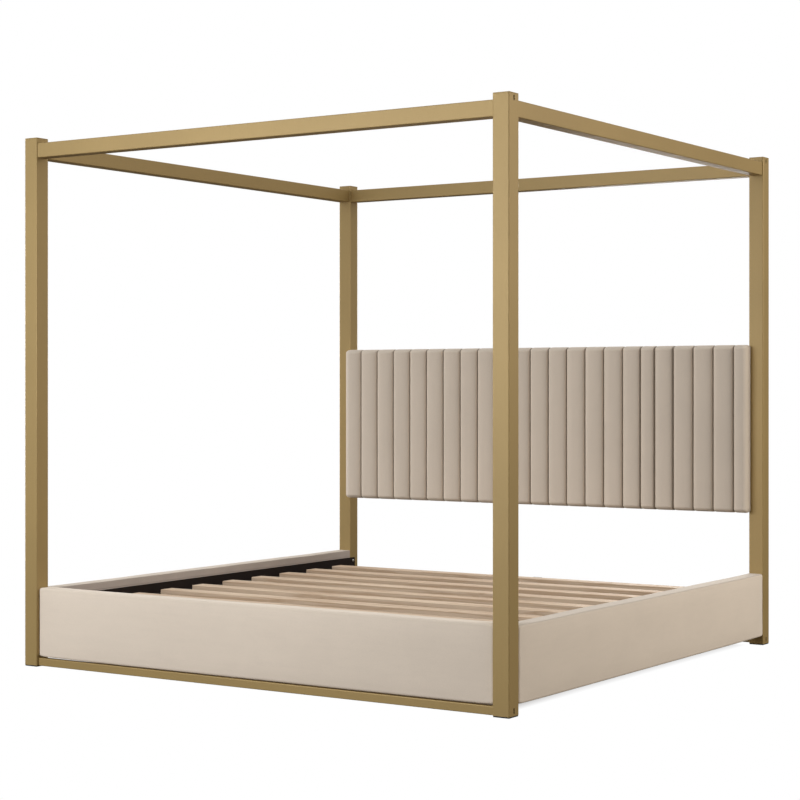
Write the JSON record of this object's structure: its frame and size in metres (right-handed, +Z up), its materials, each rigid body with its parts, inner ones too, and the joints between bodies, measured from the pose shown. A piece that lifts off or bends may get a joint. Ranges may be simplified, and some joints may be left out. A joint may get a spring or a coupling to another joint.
{
  "type": "four poster canopy bed",
  "caption": "Four poster canopy bed with a square gold metal frame, padded velvet side and foot panels, a channelled velvet headboard and wooden slats.",
  "frame": {"origin": "on the floor under the middle of the bed", "axes": "+X to the right as seen from the foot end, +Y from the foot end to the head end, +Z up"},
  "size_m": [2.121, 2.135, 2],
  "materials": {
    "gold_paint": "satin gold paint on square steel tube",
    "cream_velvet": "short pile velvet, warm cream",
    "plywood": "raw plywood board",
    "pine": "planed light wood, unvarnished",
    "black_steel": "matt black powder coat",
    "zinc_steel": "zinc plated bolt",
    "black_plastic": "moulded black plastic"
  },
  "bodies": {
    "bed": {"foot_left_post": "gold_paint", "foot_left_post_cap": "gold_paint", "foot_left_glide": "black_plastic", "foot_left_bolt_across": "zinc_steel", "foot_left_bolt_along": "zinc_steel", "foot_right_post": "gold_paint", "foot_right_post_cap": "gold_paint", "foot_right_glide": "black_plastic", "foot_right_bolt_across": "zinc_steel", "foot_right_bolt_along": "zinc_steel", "foot_floor_bar": "gold_paint", "foot_canopy_rail": "gold_paint", "head_left_post": "gold_paint", "head_left_post_cap": "gold_paint", "head_left_glide": "black_plastic", "head_left_bolt_across": "zinc_steel", "head_left_bolt_along": "zinc_steel", "head_right_post": "gold_paint", "head_right_post_cap": "gold_paint", "head_right_glide": "black_plastic", "head_right_bolt_across": "zinc_steel", "head_right_bolt_along": "zinc_steel", "head_floor_bar": "gold_paint", "head_canopy_rail": "gold_paint", "left_canopy_rail": "gold_paint", "left_side_board": "plywood", "left_side_pad": "cream_velvet", "left_side_rail": "black_steel", "left_lower_headboard_bracket": "black_steel", "left_upper_headboard_bracket": "black_steel", "right_canopy_rail": "gold_paint", "right_side_board": "plywood", "right_side_pad": "cream_velvet", "right_side_rail": "black_steel", "right_lower_headboard_bracket": "black_steel", "right_upper_headboard_bracket": "black_steel", "foot_board": "plywood", "foot_pad": "cream_velvet", "headboard_board": "plywood", "headboard_pad": "cream_velvet", "slat_1": "pine", "slat_2": "pine", "slat_3": "pine", "slat_4": "pine", "slat_5": "pine", "slat_6": "pine", "slat_7": "pine", "slat_8": "pine", "slat_9": "pine", "foot_ledge": "black_steel", "head_cross_rail": "black_steel", "centre_beam": "black_steel", "centre_leg_1": "black_steel", "centre_leg_2": "black_steel", "centre_leg_3": "black_steel"},
    "foot_screw_1": {"screw_foot_1": "black_plastic"},
    "foot_screw_2": {"screw_foot_2": "black_plastic"},
    "foot_screw_3": {"screw_foot_3": "black_plastic"}
  },
  "joints": [
    {"name": "screw_foot_1_height", "type": "slide", "parent": "bed", "child": "foot_screw_1", "axis": [0, 0, 1], "range_m": [-0.015, 0.01]},
    {"name": "screw_foot_2_height", "type": "slide", "parent": "bed", "child": "foot_screw_2", "axis": [0, 0, 1], "range_m": [-0.015, 0.01]},
    {"name": "screw_foot_3_height", "type": "slide", "parent": "bed", "child": "foot_screw_3", "axis": [0, 0, 1], "range_m": [-0.015, 0.01]}
  ]
}
